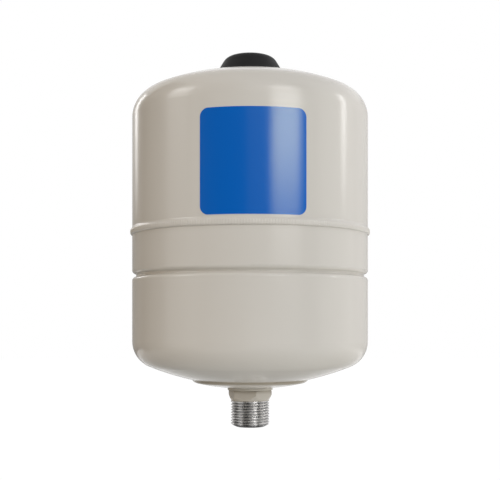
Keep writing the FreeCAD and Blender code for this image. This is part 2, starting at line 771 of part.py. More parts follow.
# Water connector
def hexagon_sketch(body):
    """A hexagon with the turned body's hole, on a level plane at the end of the thread."""
    sketch = level_sketch(body, "hexagon_outline", size.thread_length)
    corner = (size.hex_across_flats * corner_share).value
    turns = [math.radians(size.hex_turn.value - 90 + 60 * at) for at in range(6)]
    corners = [Vector(corner * math.cos(turn), corner * math.sin(turn), 0) for turn in turns]
    for at in range(6):
        sketch.addGeometry(Part.LineSegment(corners[at], corners[(at + 1) % 6]), False)
    round_corners = sketch.addGeometry(Part.Circle(Vector(0, 0, 0), Vector(0, 0, 1), corner), True)
    hole = sketch.addGeometry(Part.Circle(Vector(0, 0, 0), Vector(0, 0, 1), size.hex_core.value),
                              False)
    for at in range(6):
        sketch.addConstraint(Sketcher.Constraint("Coincident", at, 2, (at + 1) % 6, 1))
        sketch.addConstraint(Sketcher.Constraint("PointOnObject", at, 1, round_corners))
        if at:
            sketch.addConstraint(Sketcher.Constraint("Equal", 0, at))
    for circle in (round_corners, hole):
        sketch.addConstraint(Sketcher.Constraint("Coincident", circle, 3, -1, 1))
    for circle, length in ((round_corners, size.hex_across_flats * corner_share),
                           (hole, size.hex_core)):
        dimension(sketch, "Radius", (circle,), length)
    along = math.radians(size.hex_turn.value + 30)
    at = sketch.addConstraint(Sketcher.Constraint("Angle", -1, 1, 0, 1, along))
    sketch.setExpression(f"Constraints[{at}]", f"({size.hex_turn.text} + 30) * 1deg")
    return sketch


def trim_corners(body, name, corners):
    """Cut the hexagon's corners by an outline turned about the axis."""
    groove = body.newObject("PartDesign::Groove", name)
    outline = straight_outline(name + "_outline", body, corners)
    groove.Profile = outline.sketch
    groove.ReferenceAxis = (outline.sketch, ["V_Axis"])
    groove.Angle = 360
    body.Tip = groove


def water_connector():
    land_inside = land_level + size.sheet_wall + size.lip_clearance
    ring_level = connector_top - size.ring_drop
    ring_half = size.ring_section + size.ring_clearance
    ring_floor = neck_outside + ring_half * 2
    socket_floor = connector_top - size.socket_depth
    body = turned_piece("water_connector_body", [
        (size.port_radius, ZERO),
        (size.thread_radius - size.thread_chamfer, ZERO),
        (size.thread_radius, size.thread_chamfer_rise),
        (size.thread_radius, size.thread_length),
        (size.hex_cone_foot, size.thread_length),
        (size.hex_cone_foot, hex_top),
        (size.collar_radius, hex_top),
        (size.collar_radius, land_level),
        (size.neck_radius, land_level),
        (size.neck_radius, land_inside),
        (size.lip_radius, land_inside),
        (size.lip_radius, connector_top),
        (socket_radius, connector_top),
        (socket_radius, ring_level + ring_half),
        (ring_floor, ring_level + ring_half),
        (ring_floor, ring_level - ring_half),
        (socket_radius, ring_level - ring_half),
        (socket_radius, socket_floor),
        (size.port_radius, socket_floor),
    ])
    hexagon = hexagon_sketch(body)
    pad = body.newObject("PartDesign::Pad", "hexagon")
    pad.Profile = hexagon
    bind(pad, Length=size.hex_height)
    corner = size.hex_across_flats * corner_share
    wide = corner + size.hex_top_chamfer
    lean = Length(math.tan(math.radians(size.hex_cone_lean.value)),
                  f"tan({size.hex_cone_lean.text} * 1deg)")
    trim_corners(body, "hexagon_lower_corners", [
        (size.hex_cone_foot, size.thread_length),
        (wide, size.thread_length),
        (wide, size.thread_length + (wide - size.hex_cone_foot) / lean),
    ])
    trim_corners(body, "hexagon_upper_corners", [
        (corner - size.hex_top_chamfer, hex_top),
        (wide, hex_top),
        (wide, hex_top - size.hex_top_chamfer),
    ])
    keep("water_connector", body)
    ring = sealing_ring("connector_ring", neck_outside + ring_half, size.ring_section, ring_level)
    keep("connector_o_ring", ring)


# Air valve, from the shell up and the core inside it
flange_top = dome_top + size.stem_flange_height
mouth = flange_top + size.stem_neck_height
plug_top = mouth - size.core_mouth
plug_foot = plug_top - size.core_plug_length
gasket_foot = plug_foot - size.gasket_height
barrel_foot = plug_foot - size.barrel_length
barrel_floor = barrel_foot + size.barrel_floor
collar_foot = plug_foot - size.pin_collar_drop
pin_hole = size.pin_radius + size.pin_clearance


def dome_dip(reach):
    """How far the shell has dropped at a reach from the axis."""
    return reach * reach / (size.head_dome * 2)


def air_valve():
    stem_foot = dome_top - size.sheet_wall - size.stem_plug_length
    keep("valve_stem", turned_piece("valve_stem_body", [
        (size.stem_tail_radius, stem_foot),
        (size.stem_plug_radius, stem_foot),
        (size.stem_plug_radius, dome_top),
        (size.stem_flange_radius, dome_top),
        (size.stem_flange_radius, flange_top),
        (size.stem_neck_radius, flange_top),
        (size.stem_neck_radius, mouth - size.stem_chamfer),
        (size.stem_neck_radius - size.stem_chamfer, mouth),
        (size.stem_bore_radius, mouth),
        (size.stem_bore_radius, plug_foot),
        (size.stem_tail_radius, gasket_foot),
    ]))
    body = doc.addObject("PartDesign::Body", "stem_weld_body")
    foot = size.stem_flange_radius + size.stem_weld_width
    corners = [(size.stem_flange_radius, dome_top - dome_dip(size.stem_flange_radius)),
               (foot, dome_top - dome_dip(foot)),
               (size.stem_flange_radius, dome_top + size.stem_weld_height)]
    outline = Outline("stem_weld_outline", body)
    places = [place(*corner) for corner in corners]
    outline.line(places[0], places[1])
    hollow = arc_through(outline, places[1], places[2], size.stem_weld_hollow, left=False)
    outline.line(places[2], places[0])
    outline.close()
    outline.pin_corners(corners)
    outline.radius(hollow, size.stem_weld_hollow)
    spin(body, outline.sketch, "stem_weld_turned")
    keep("stem_weld", body)


def bridge_flats(body):
    """Cut both sides off the top of the core's plug, which leaves the bridge for its key."""
    sketch = level_sketch(body, "core_bridge_outline", plug_top - size.core_bridge_height)
    half, edge = size.core_bridge / 2, size.stem_bore_radius
    rectangle(sketch, ZERO - edge, edge, half, edge)
    rectangle(sketch, ZERO - edge, edge, ZERO - edge, ZERO - half)
    doc.recompute()
    flats = body.newObject("PartDesign::Pocket", "core_bridge_flats")
    flats.Profile = sketch
    flats.Reversed = True
    bind(flats, Length=size.core_bridge_height)
    body.Tip = flats


def valve_core():
    body = turned_piece("core_plug_body", [
        (pin_hole, plug_foot), (size.stem_bore_radius - size.core_clearance, plug_foot),
        (size.stem_bore_radius - size.core_clearance, plug_top), (pin_hole, plug_top)])
    bridge_flats(body)
    keep("core_plug", body)
    inner = size.barrel_radius + size.core_clearance / 2
    keep("core_gasket", turned_piece("core_gasket_body", [
        (inner, gasket_foot), (size.stem_tail_radius - size.core_clearance / 2, gasket_foot),
        (size.stem_bore_radius - size.core_clearance / 2, plug_foot), (inner, plug_foot)]))
    keep("core_barrel", turned_piece("core_barrel_body", [
        (pin_hole, barrel_foot), (size.barrel_radius, barrel_foot), (size.barrel_radius, plug_foot),
        (size.barrel_radius - size.barrel_wall, plug_foot),
        (size.barrel_radius - size.barrel_wall, barrel_floor), (pin_hole, barrel_floor)]))
    cup_top = barrel_foot - size.seal_gap - size.seal_height
    cup_foot = cup_top - size.cup_height
    keep("core_pin", turned_piece("core_pin_body", [
        (ZERO, cup_foot), (size.cup_radius, cup_foot), (size.cup_radius, cup_top),
        (size.pin_radius, cup_top), (size.pin_radius, collar_foot),
        (size.pin_collar_radius, collar_foot),
        (size.pin_collar_radius, collar_foot + size.pin_collar_height),
        (size.pin_radius, collar_foot + size.pin_collar_height),
        (size.pin_radius, mouth - size.pin_mouth), (ZERO, mouth - size.pin_mouth)]))
    keep("core_seal", tube("core_seal_washer", size.cup_radius - size.seal_inset,
                           size.pin_radius + size.seal_gap, cup_top, cup_top + size.seal_height))
    spring_foot = barrel_floor + size.spring_wire + size.spring_gap
    coil = add("Part::Helix", "core_spring_coil", Pitch=size.spring_pitch,
               Radius=size.spring_radius,
               Height=collar_foot - size.spring_wire - size.spring_gap - spring_foot,
               Placement__Base__z=spring_foot)
    wire = add("Part::Circle", "core_spring_wire", Radius=size.spring_wire)
    wire.Placement = FreeCAD.Placement(Vector(0, 0, 0), FreeCAD.Rotation(Vector(1, 0, 0), 90))
    bind(wire, Placement__Base__x=size.spring_radius, Placement__Base__z=spring_foot)
    spring = doc.addObject("Part::Sweep", "core_spring_swept")
    spring.Sections = [wire]
    spring.Spine = (coil, [])
    spring.Solid = True
    spring.Frenet = True
    keep("core_spring", spring)


def valve_cap():
    foot = flange_top + size.valve_cap_foot
    inner = size.stem_neck_radius + size.valve_cap_clearance
    roof = mouth + (size.valve_ring_section + size.valve_ring_clearance) * 2
    top = roof + size.valve_cap_roof
    body = turned_piece("valve_cap_body", [
        (inner, foot), (size.valve_cap_radius, foot), (size.valve_cap_radius, top
                                                       - size.valve_cap_edge),
        (size.valve_cap_radius - size.valve_cap_edge, top), (ZERO, top), (ZERO, roof),
        (inner, roof)])
    flute = level_sketch(body, "flute_outline", foot + size.valve_cap_edge)
    middle = size.valve_cap_radius + size.flute_radius / 2
    flute.addGeometry(Part.Circle(Vector(middle.value, 0, 0), Vector(0, 0, 1),
                                  size.flute_radius.value), False)
    flute.addConstraint(Sketcher.Constraint("PointOnObject", 0, 3, -1))
    dimension(flute, "DistanceX", (-1, 1, 0, 3), middle)
    dimension(flute, "Radius", (0,), size.flute_radius)
    doc.recompute()
    pocket = body.newObject("PartDesign::Pocket", "flute")
    pocket.Profile = flute
    pocket.Reversed = True
    bind(pocket, Length=top - foot)
    repeat_round(body, "flutes", pocket, flute, size.flute_count)
    keep("valve_cap", body)
    seal_middle = (size.stem_bore_radius + size.stem_neck_radius) / 2
    keep("valve_cap_o_ring", sealing_ring(
        "valve_cap_ring", seal_middle, size.valve_ring_section,
        mouth + size.valve_ring_section + size.valve_ring_clearance))


# Black cap over the valve
def cover_ribs(foot, top):
    """A star of ribs from the axis out to the cap's side."""
    body = doc.addObject("PartDesign::Body", "protective_cap_star")
    outline = level_sketch(body, "rib_outline", foot)
    rectangle(outline, ZERO, size.cover_radius, ZERO - size.rib_wall / 2, size.rib_wall / 2)
    doc.recompute()
    rib = body.newObject("PartDesign::Pad", "rib")
    rib.Profile = outline
    bind(rib, Length=top - foot)
    repeat_round(body, "ribs", rib, outline, size.rib_count)
    return body


def protective_cap():
    top_level = dome_top + size.cover_rise
    # the foot follows the shell's dome at the gap's distance
    seating = size.head_dome + size.cover_gap
    cap_foot = dome_centre + (seating * seating - size.cover_radius * size.cover_radius).root()
    crown, shoulder, reach, top, radius, foot = place(
        size.cover_crown, size.cover_shoulder, size.cover_shoulder_reach, top_level,
        size.cover_radius, cap_foot)
    head = (0.0, top - crown)
    bend = (reach, head[1] + math.sqrt((crown - shoulder) ** 2 - reach ** 2))
    away = math.dist(bend, (radius, foot))
    turn = math.atan2(foot - bend[1], radius - bend[0]) + math.acos(shoulder / away)
    side = (bend[0] + shoulder * math.cos(turn), bend[1] + shoulder * math.sin(turn))
    outline = Outline("protective_cap_outline")
    skirt = outline.line((radius, foot), side)
    edge = outline.arc(bend, side, towards(head, bend, crown), smooth=True)
    roof = outline.arc(head, towards(head, bend, crown), (0.0, top), smooth=True)
    outline.pin(outline.start_of(skirt), (size.cover_radius, cap_foot))
    outline.radius(edge, size.cover_shoulder)
    outline.reach(outline.centre_of(edge), size.cover_shoulder_reach)
    outline.radius(roof, size.cover_crown)
    outline.on_axis(outline.centre_of(roof))
    outline.on_axis(outline.end_of(roof))
    outline.level(outline.end_of(roof), top_level)
    cap = sheet_piece("protective_cap_sheet", outline, size.cover_wall, first_cap=dome_centre)

    sleeve_inner = size.stem_flange_radius + size.sleeve_clearance
    sleeve_outer = sleeve_inner + size.sleeve_wall
    sleeve_foot = dome_top + size.stem_weld_height + size.sleeve_rise
    sleeve = tube("protective_cap_sleeve", sleeve_outer, sleeve_inner, sleeve_foot,
                  top_level - size.cover_wall / 2)
    # the ribs end within the cap's own wall, and the sleeve's bore is clear of them
    rib_foot = sleeve_foot + size.rib_rise
    rib_top = top_level - size.cover_wall
    lean = (radius - side[0]) / (side[1] - foot)
    rib_end = size.cover_radius - size.cover_wall / 2
    room = add("Part::Cone", "protective_cap_room", Height=rib_top - rib_foot,
               Radius1=rib_end - (rib_foot - cap_foot) * lean,
               Radius2=rib_end - (rib_top - cap_foot) * lean, Placement__Base__z=rib_foot)
    doc.recompute()
    upper_edge = max((edge.CenterOfMass.z, at) for at, edge in enumerate(room.Shape.Edges, start=1)
                     if edge.isClosed())[1]
    rounded = doc.addObject("Part::Fillet", "protective_cap_room_rounded")
    rounded.Base = room
    inside_round = shoulder - size.cover_wall.value
    rounded.Edges = [(upper_edge, inside_round, inside_round)]
    star = cover_ribs(rib_foot, rib_top)
    filled = doc.addObject("Part::Common", "protective_cap_ribs_trimmed")
    filled.Base = star
    filled.Tool = rounded
    bore = rod("protective_cap_bore", sleeve_inner + size.sleeve_wall / 2, rib_foot, rib_top)
    ribs = cut("protective_cap_ribs", filled, bore)
    keep("protective_cap", fuse("protective_cap_moulded", cap, sleeve, ribs))


# Label on the upper shell
def label():
    low = size.seam_level + size.label_rise
    inner = size.tank_radius + size.label_glue
    skin = tube("label_skin", inner + size.label_wall, inner, low - size.label_corner,
                low + size.label_height + size.label_corner)
    half_turn = size.label_width / size.tank_radius / 2
    half = Length(size.tank_radius.value * math.sin(half_turn.value),
                  f"({size.tank_radius.text} * sin({half_turn.text} * 1rad))")
    front = size.tank_radius * 2
    blank = add("Part::Box", "label_blank", Length=half * 2, Width=front,
                Height=size.label_height, Placement__Base__x=ZERO - half,
                Placement__Base__y=ZERO - front, Placement__Base__z=low)
    doc.recompute()
    rounded = doc.addObject("Part::Fillet", "label_rounded")
    rounded.Base = blank
    corners = [at for at, edge in enumerate(blank.Shape.Edges, start=1)
               if edge.BoundBox.YLength > edge.Length / 2]
    rounded.Edges = [(at, size.label_corner.value, size.label_corner.value) for at in corners]
    cut_out = doc.addObject("Part::Common", "label_cut_out")
    cut_out.Base = skin
    cut_out.Tool = rounded
    bind(cut_out, Placement__Rotation__Angle=size.label_turn)
    keep("label", cut_out)


upper_shell()
lower_shell()
seam_weld()
liner()
diaphragm()
clench_ring()
water_connector()
air_valve()
valve_core()
valve_cap()
protective_cap()
label()
doc.recompute()

# Checks, then one file for each piece
faults = [thing.Name for thing in doc.Objects if {"Invalid", "Error"} & set(thing.State)]
for name, thing in pieces.items():
    if thing.Shape.isNull() or not thing.Shape.isValid():
        faults.append(name)
if faults:
    raise RuntimeError("failed: " + ", ".join(faults))

os.makedirs("parts", exist_ok=True)
for name, thing in pieces.items():
    thing.Shape.exportStep(os.path.join("parts", name + ".step"))
    box = thing.Shape.optimalBoundingBox()
    print(f"{name}: {len(thing.Shape.Solids)} solid, {thing.Shape.Volume / 1000:.3f} cm3, "
          f"level {box.ZMin:.2f} to {box.ZMax:.2f}")
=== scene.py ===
# %% [markdown]
# # A well pressure tank
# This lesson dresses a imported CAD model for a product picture: a small steel tank that hangs on a
# water pipe by its threaded connector, with an air valve under a black cap on top. Its nodes
# already have the true shapes, so most of the work is finishes and light. Four pieces are made
# anew: the pipe thread, the hexagon above it, the weld round the middle with its ripples, and the
# valve's spring.

# %% Load the model
import math

import bpy
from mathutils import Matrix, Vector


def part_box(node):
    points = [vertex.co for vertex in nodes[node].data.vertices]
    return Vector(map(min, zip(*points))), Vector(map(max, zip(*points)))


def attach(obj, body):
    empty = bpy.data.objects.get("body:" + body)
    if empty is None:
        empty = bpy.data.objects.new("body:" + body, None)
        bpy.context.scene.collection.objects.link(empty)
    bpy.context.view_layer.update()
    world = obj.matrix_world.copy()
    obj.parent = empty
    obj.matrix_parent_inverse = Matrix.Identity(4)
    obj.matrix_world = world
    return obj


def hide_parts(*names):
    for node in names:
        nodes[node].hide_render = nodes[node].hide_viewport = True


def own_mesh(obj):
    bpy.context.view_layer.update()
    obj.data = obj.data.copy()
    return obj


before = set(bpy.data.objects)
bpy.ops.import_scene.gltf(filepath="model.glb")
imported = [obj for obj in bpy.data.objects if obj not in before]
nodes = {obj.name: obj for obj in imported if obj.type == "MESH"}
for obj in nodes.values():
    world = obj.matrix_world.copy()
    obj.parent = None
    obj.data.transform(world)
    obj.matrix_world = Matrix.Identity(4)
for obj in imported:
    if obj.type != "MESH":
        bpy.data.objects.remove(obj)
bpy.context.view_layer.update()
MM = 0.001

# %% [markdown]
# ## The camera
# A product picture of a tall object is taken from far enough away for its sides to stay upright.
# The camera is level and looks along +Y from a little above the connector. The frame is then
# shifted up, as a view camera does it, so that the tank fills the picture while its walls stay
# parallel. The distance, the lens and the height were fitted to a photo of such a tank. If it is
# 202 mm across, the weld curves as it does there when the camera is 804 mm away.

# %% Camera
PICTURE_WIDTH = 500
FOCAL_PIXELS = 930.7
HORIZON_BELOW_MIDDLE = 80
AXIS_RIGHT_OF_MIDDLE = 0.07
CAMERA_DISTANCE = 0.804
CAMERA_HEIGHT = 0.0917

camera_data = bpy.data.cameras.new("camera")
camera_data.sensor_fit = "HORIZONTAL"
camera_data.lens = camera_data.sensor_width * FOCAL_PIXELS / PICTURE_WIDTH
camera_data.shift_x = -AXIS_RIGHT_OF_MIDDLE / PICTURE_WIDTH
camera_data.shift_y = HORIZON_BELOW_MIDDLE / PICTURE_WIDTH
camera_data.clip_start = 0.05
camera = bpy.data.objects.new("camera", camera_data)
camera.location = (0, -CAMERA_DISTANCE, CAMERA_HEIGHT)
camera.rotation_euler = (math.radians(90), 0, 0)
bpy.context.scene.collection.objects.link(camera)
bpy.context.scene.camera = camera
bpy.context.scene.view_settings.view_transform = "Standard"
print("lens", round(camera_data.lens, 2), "mm, shift", round(camera_data.shift_y, 3))

# %% [markdown]
# ## Small tools for shader nodes
# Every finish below is made of nodes. Short helpers keep that readable: one adds a node and fills
# in its settings, one sets up a material with its Principled shader, and the others measure where a
# place on the piece lies.

# %% Node helpers
def add_node(tree, kind, inputs=(), **settings):
    """A new node, with its settings and the values or links of its inputs."""
    node = tree.nodes.new(kind)
    for name, value in settings.items():
        setattr(node, name, value)
    for socket, value in dict(inputs).items():
        if isinstance(value, bpy.types.NodeSocket):
            tree.links.new(value, node.inputs[socket])
        else:
            node.inputs[socket].default_value = value
    return node


def new_material(name, **sockets):
    """A material and its Principled shader, with plain values on the shader's own sockets."""
    material = bpy.data.materials.new(name)
    material.use_nodes = True
    shader = material.node_tree.nodes["Principled BSDF"]
    for socket, value in sockets.items():
        shader.inputs[socket.replace("_", " ")].default_value = value
    return material, shader


def colour(red, green, blue):
    return (red, green, blue, 1)


def math_node(tree, operation, first, second=0.0):
    return add_node(tree, "ShaderNodeMath", {0: first, 1: second},
                    operation=operation).outputs[0]


def ramp(tree, value, start, stop, low=0.0, high=1.0, **settings):
    """Low at the start and before it, high at the stop and beyond it."""
    return add_node(tree, "ShaderNodeMapRange", {
        "Value": value, "From Min": start, "From Max": stop, "To Min": low, "To Max": high},
        **settings).outputs["Result"]


def object_place(tree):
    return add_node(tree, "ShaderNodeTexCoord").outputs["Object"]


def split(tree, place):
    """The three parts of a place."""
    return add_node(tree, "ShaderNodeSeparateXYZ", {0: place}).outputs


def from_axis(tree):
    """Metres from the upright axis through the tank."""
    flat = add_node(tree, "ShaderNodeVectorMath", {0: object_place(tree), 1: (1.0, 1.0, 0.0)},
                    operation="MULTIPLY").outputs[0]
    return add_node(tree, "ShaderNodeVectorMath", {0: flat}, operation="LENGTH").outputs["Value"]


def band(tree, value, limits):
    """1 between the two middle limits and 0 outside the outer two, in millimetres."""
    first, second, third, last = (limit * MM for limit in limits)
    return math_node(tree, "MINIMUM", ramp(tree, value, first, second),
                     ramp(tree, value, last, third))


# %% [markdown]
# ## Grain: one group for every moulded, painted or printed surface
# No real surface is the same all over. Enamel dries with a faint orange peel, moulded plastic
# copies the fine sparks of its mould, rubber has a dull bloom and a printed film lies a little
# wavy on its glue. All of these are a fine relief together with a slow drift of tone, so one group
# makes them: it puts out a height for a Bump node and a slow patchy value for colour and gloss.
# Each material chooses its own size. Noise in Object coordinates needs no unwrapping and stays on
# the piece when it moves.

# %% Group: grain
def make_grain_group():
    tree = bpy.data.node_groups.new("Grain", "ShaderNodeTree")
    face = tree.interface
    for name, value in (("Grain per metre", 800.0), ("Patches per metre", 20.0)):
        face.new_socket(name, in_out="INPUT", socket_type="NodeSocketFloat").default_value = value
    for name in ("Height", "Patches"):
        face.new_socket(name, in_out="OUTPUT", socket_type="NodeSocketFloat")
    entry = tree.nodes.new("NodeGroupInput")
    leave = tree.nodes.new("NodeGroupOutput")
    where = object_place(tree)
    fine = add_node(tree, "ShaderNodeTexNoise", {"Vector": where, "Scale": entry.outputs[0],
                                                 "Detail": 3.0, "Roughness": 0.55})
    slow = add_node(tree, "ShaderNodeTexNoise", {"Vector": where, "Scale": entry.outputs[1],
                                                 "Detail": 2.0})
    tree.links.new(fine.outputs["Fac"], leave.inputs["Height"])
    tree.links.new(slow.outputs["Fac"], leave.inputs["Patches"])
    return tree


GRAIN = make_grain_group()
print("group", GRAIN.name, "has", len(GRAIN.nodes), "nodes")

# %% [markdown]
# ## Turning marks: one group for every piece made on a lathe
# The connector, the valve and its caps are turned. The tool leaves very fine rings round the axis,
# which stretch a reflection along the piece. Rings are noise that changes only with the height, so
# the group scales the two other directions down before it reads the noise.

# %% Group: turning marks
def make_turning_group():
    tree = bpy.data.node_groups.new("Turning marks", "ShaderNodeTree")
    face = tree.interface
    face.new_socket("Rings per metre", in_out="INPUT",
                    socket_type="NodeSocketFloat").default_value = 4000.0
    for name in ("Height", "Streaks"):
        face.new_socket(name, in_out="OUTPUT", socket_type="NodeSocketFloat")
    entry = tree.nodes.new("NodeGroupInput")
    leave = tree.nodes.new("NodeGroupOutput")
    where = object_place(tree)
    flat = add_node(tree, "ShaderNodeVectorMath", {0: where, 1: (0.02, 0.02, 1.0)},
                    operation="MULTIPLY")
    rings = add_node(tree, "ShaderNodeTexNoise", {"Vector": flat.outputs[0],
                                                  "Scale": entry.outputs[0], "Detail": 4.0})
    smears = add_node(tree, "ShaderNodeTexNoise", {"Vector": where, "Scale": 120.0,
                                                   "Detail": 2.0})
    tree.links.new(rings.outputs["Fac"], leave.inputs["Height"])
    tree.links.new(smears.outputs["Fac"], leave.inputs["Streaks"])
    return tree


TURNING = make_turning_group()
print("group", TURNING.name, "has", len(TURNING.nodes), "nodes")


# %% [markdown]
# ## From a group to a surface
# The group's patches run between 0 and 1. A Map Range node turns them into a gloss that wanders
# between two values, and a Mix node into a colour that wanders between two close tones. The Bump
# node takes a height in metres, so its distance says how deep the grain really is.

# %% Surface helper
def surface(material, shader, relief, patches, depth, gloss, tones):
    """Wire a group's outputs to a shader: relief as bump, patches as gloss and as colour."""
    tree = material.node_tree
    bump = add_node(tree, "ShaderNodeBump", {"Height": relief, "Distance": depth})
    tree.links.new(bump.outputs["Normal"], shader.inputs["Normal"])
    tree.links.new(ramp(tree, patches, 0.3, 0.7, *gloss), shader.inputs["Roughness"])
    blend = add_node(tree, "ShaderNodeMix", {"Factor": patches, "A": tones[0], "B": tones[1]},
                     data_type="RGBA")
    tree.links.new(blend.outputs["Result"], shader.inputs["Base Color"])


def recolour(material, mask, tone):
    """Let the material's own colour give way to a tone where the mask is 1."""
    tree = material.node_tree
    base = tree.nodes["Principled BSDF"].inputs["Base Color"]
    blend = add_node(tree, "ShaderNodeMix", {
        "Factor": mask, "A": base.links[0].from_socket, "B": tone}, data_type="RGBA")
    tree.links.new(blend.outputs["Result"], base)


def grained(name, sizes, depth, gloss, tones, **sockets):
    """A material with grain: sizes are its grain and its patches, per metre."""
    material, shader = new_material(name, **sockets)
    group = add_node(material.node_tree, "ShaderNodeGroup", node_tree=GRAIN)
    for socket, value in zip(group.inputs, sizes):
        socket.default_value = value
    surface(material, shader, group.outputs["Height"], group.outputs["Patches"], depth, gloss,
            tones)
    return material


def lathe_turned(name, rings, depth, gloss, tones, **sockets):
    """A bare metal with turning marks: rings per metre."""
    material, shader = new_material(name, Metallic=1.0, **sockets)
    group = add_node(material.node_tree, "ShaderNodeGroup", node_tree=TURNING)
    group.inputs[0].default_value = rings
    surface(material, shader, group.outputs["Height"], group.outputs["Streaks"], depth, gloss,
            tones)
    return material


# %% [markdown]
# ## Almond enamel
# The shells, the weld and the hexagon are sprayed in one go with a glossy almond enamel. It has
# its colour all through, a soft gloss and an orange peel a few millimetres wide and only microns
# deep, which makes the edges of a reflection wander a little.
#
# The photo shows a soft brown ring of shade in the hollow corner of the pressed step, under the
# lower head. The plain light here doesn't bring that shade out, so it is painted in as painted
# shade, by
# the distance from the axis: a likeness to that photo, and no measured colour. It may be paint,
# dust or only shade.

# %% Enamel
enamel = grained("enamel", sizes=(420.0, 9.0), depth=0.00001, gloss=(0.14, 0.18),
                 tones=(colour(0.597, 0.572, 0.513), colour(0.603, 0.578, 0.519)),
                 Specular_IOR_Level=0.25)
STEP_SHADE_RING = (47.6, 49.2, 51.4, 53.4)
STEP_RING_TOP = 0.0500
STEP_RING_FULL = 0.0480
STEP_SHADE = colour(0.37, 0.33, 0.26)

# Painted shade: a brown ring in the hollow corner of the step, on the underside only.
tree = enamel.node_tree
ring = band(tree, from_axis(tree), STEP_SHADE_RING)
low_down = ramp(tree, split(tree, object_place(tree))[2], STEP_RING_TOP, STEP_RING_FULL)
recolour(enamel, math_node(tree, "MULTIPLY", ring, low_down), STEP_SHADE)
print("ring at the step from", STEP_SHADE_RING[0], "to", STEP_SHADE_RING[-1], "mm from the axis")

# %% [markdown]
# ## Plastics and rubbers
# The cap is moulded in black polyethylene with a fine matt grain. The liner, hidden inside, is
# natural polypropylene with a waxy sheen. The diaphragm and the sealing rings are black butyl
# rubber, and the valve core seals with a ring of red plastic.

# %% Plastics and rubbers
black_plastic = grained("black_plastic", sizes=(2600.0, 60.0), depth=0.00003,
                        gloss=(0.44, 0.54), tones=(colour(0.008, 0.008, 0.008),
                                                   colour(0.011, 0.011, 0.011)),
                        Specular_IOR_Level=0.11)
polypropylene = grained("polypropylene", sizes=(900.0, 25.0), depth=0.00002, gloss=(0.32, 0.42),
                        tones=(colour(0.76, 0.78, 0.74), colour(0.83, 0.84, 0.81)),
                        Subsurface_Weight=0.1, Subsurface_Scale=0.002)
butyl_rubber = grained("butyl_rubber", sizes=(1500.0, 45.0), depth=0.00003, gloss=(0.55, 0.75),
                       tones=(colour(0.018, 0.018, 0.019), colour(0.034, 0.034, 0.035)))
seal_plastic = grained("seal_plastic", sizes=(3000.0, 200.0), depth=0.000005, gloss=(0.3, 0.4),
                       tones=(colour(0.42, 0.03, 0.02), colour(0.50, 0.05, 0.03)))

# %% [markdown]
# ## Bare metals
# The pipe thread is turned stainless steel and is left bare. The valve is turned brass. The band
# that clamps the diaphragm is rolled steel strip, and the valve's spring is drawn wire.
#
# In the photo the roots of the thread are much darker than its crests. The shape alone doesn't
# give that here, so shade is painted into the roots: the steel's tone falls towards them, and its
# crests are brighter than real stainless steel. Both tones were fitted to the photo.

# %% Metals
stainless = lathe_turned("stainless", rings=9000.0, depth=0.0000008, gloss=(0.23, 0.32),
                         tones=(colour(0.84, 0.825, 0.81), colour(0.91, 0.90, 0.89)))
brass = lathe_turned("brass", rings=12000.0, depth=0.000004, gloss=(0.2, 0.32),
                     tones=(colour(0.72, 0.50, 0.19), colour(0.80, 0.58, 0.25)))
band_steel = lathe_turned("band_steel", rings=5000.0, depth=0.000008, gloss=(0.3, 0.42),
                          tones=(colour(0.44, 0.45, 0.46), colour(0.52, 0.53, 0.54)))
spring_steel = lathe_turned("spring_steel", rings=20000.0, depth=0.000002, gloss=(0.22, 0.3),
                            tones=(colour(0.52, 0.52, 0.53), colour(0.60, 0.60, 0.61)))

# %% Dark roots of the thread
# Painted shade: the steel turns dark grey towards the roots of the thread.
ROOT_SHADE = (14.5, 14.9, 15.1, 15.7)
recolour(stainless, band(stainless.node_tree, from_axis(stainless.node_tree), ROOT_SHADE),
         colour(0.30, 0.30, 0.30))
print("roots darkened up to", ROOT_SHADE[-1], "mm from the axis")

# %% Finish the nodes that keep their own shape
FINISHES = {
    enamel: ("upper_shell", "lower_shell", "stem_weld"),
    black_plastic: ("protective_cap",),
    polypropylene: ("liner",),
    butyl_rubber: ("diaphragm", "connector_o_ring", "core_seal", "valve_cap_o_ring"),
    seal_plastic: ("core_gasket",),
    brass: ("valve_stem", "core_plug", "core_barrel", "core_pin", "valve_cap"),
    band_steel: ("clench_ring",),
}
for material, names in FINISHES.items():
    for name in names:
        nodes[name].material_slots[0].material = material
print("finished", sum(len(names) for names in FINISHES.values()), "nodes")


# %% [markdown]
# ## Meshes that go round an axis
# The weld, the thread and the hexagon all have a closed outline that is carried round the axis.
# On a plain lathe piece the outline is the same at every angle. Here it changes on the way: the
# thread climbs, the ripples come and go and the hexagon has its flats. So the helper asks for the
# outline at each angle, and joins it to the one before with four-sided faces.

# %% Mesh helpers
def new_piece(name, points, faces, smooth_to=None):
    """An object of points and faces, smoothed over edges up to an angle in degrees."""
    mesh = bpy.data.meshes.new(name)
    mesh.from_pydata(points, [], faces)
    if smooth_to is not None:
        mesh.shade_smooth()
        mesh.set_sharp_from_angle(angle=math.radians(smooth_to))
    piece = bpy.data.objects.new(name, mesh)
    bpy.context.scene.collection.objects.link(piece)
    return piece


def round_mesh(name, outline_at, steps):
    """A closed ring-shaped mesh. outline_at gives (reach, level) pairs in millimetres."""
    points, faces = [], []
    for step in range(steps):
        angle = 2 * math.pi * step / steps
        outline = outline_at(angle)
        points += [(reach * math.cos(angle) * MM, reach * math.sin(angle) * MM, level * MM)
                   for reach, level in outline]
    count = len(outline)
    for step in range(steps):
        here, there = step * count, (step + 1) % steps * count
        for at in range(count):
            beyond = (at + 1) % count
            faces.append((here + at, there + at, there + beyond, here + beyond))
    print(name, len(points), "points")
    return new_piece(name, points, faces, smooth_to=35)


def dress(piece, material, node):
    """Give a new piece its finish and let it stand for a CAD node of the tank."""
    piece.data.materials.append(material)
    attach(piece, "tank")
    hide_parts(node)


